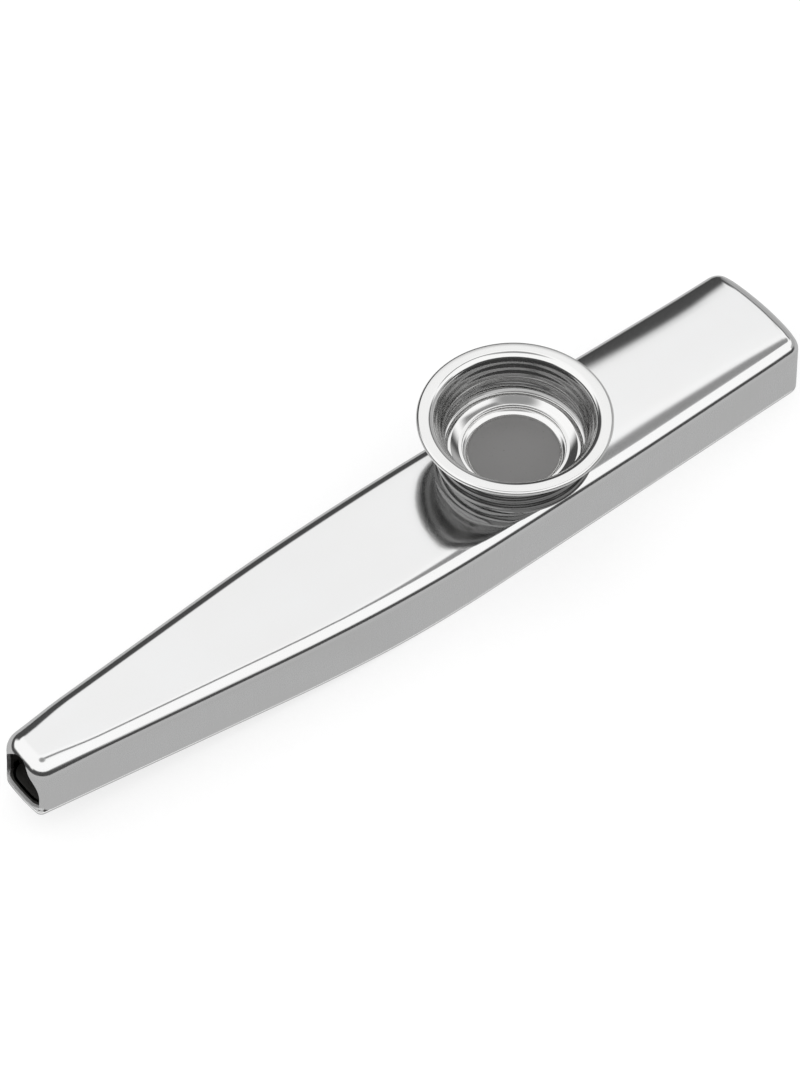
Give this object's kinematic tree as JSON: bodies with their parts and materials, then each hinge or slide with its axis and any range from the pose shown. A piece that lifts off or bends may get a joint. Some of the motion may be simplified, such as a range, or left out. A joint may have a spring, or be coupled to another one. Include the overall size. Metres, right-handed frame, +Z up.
{
  "type": "kazoo",
  "caption": "Tapered sheet-metal kazoo with open mouths at both ends and a screw-in turret that clamps a round membrane.",
  "frame": {"origin": "on the resting face, halfway along the body and on its centre line", "axes": "+X along the body towards the wide mouth, +Y across, +Z up out of the turret"},
  "size_m": [0.1218, 0.0252, 0.0179],
  "materials": {
    "body_metal": "polished, softly satin on the side walls",
    "turret_metal": "polished",
    "membrane": "thin satin film"
  },
  "bodies": {
    "body": {"upper_shell": "body_metal", "base_plate": "body_metal", "turret_socket": "turret_metal", "membrane_ring": "turret_metal", "membrane_film": "membrane"},
    "washer": {"clamp_washer": "turret_metal"},
    "cap": {"turret_cap": "turret_metal"}
  },
  "joints": [
    {"name": "cap_lift", "type": "slide", "parent": "body", "child": "washer", "axis": [0, 0, 1], "range_m": [0, 0.00421]},
    {"name": "cap_turn", "type": "hinge", "parent": "washer", "child": "cap", "pos_m": [0.0172, 0, 0.014], "axis": [0, 0, 1], "range_deg": [0, 1080]}
  ],
  "couplings": [
    {"joint": "cap_lift", "follows": "cap_turn", "m_per_rad": 0.00022282}
  ]
}
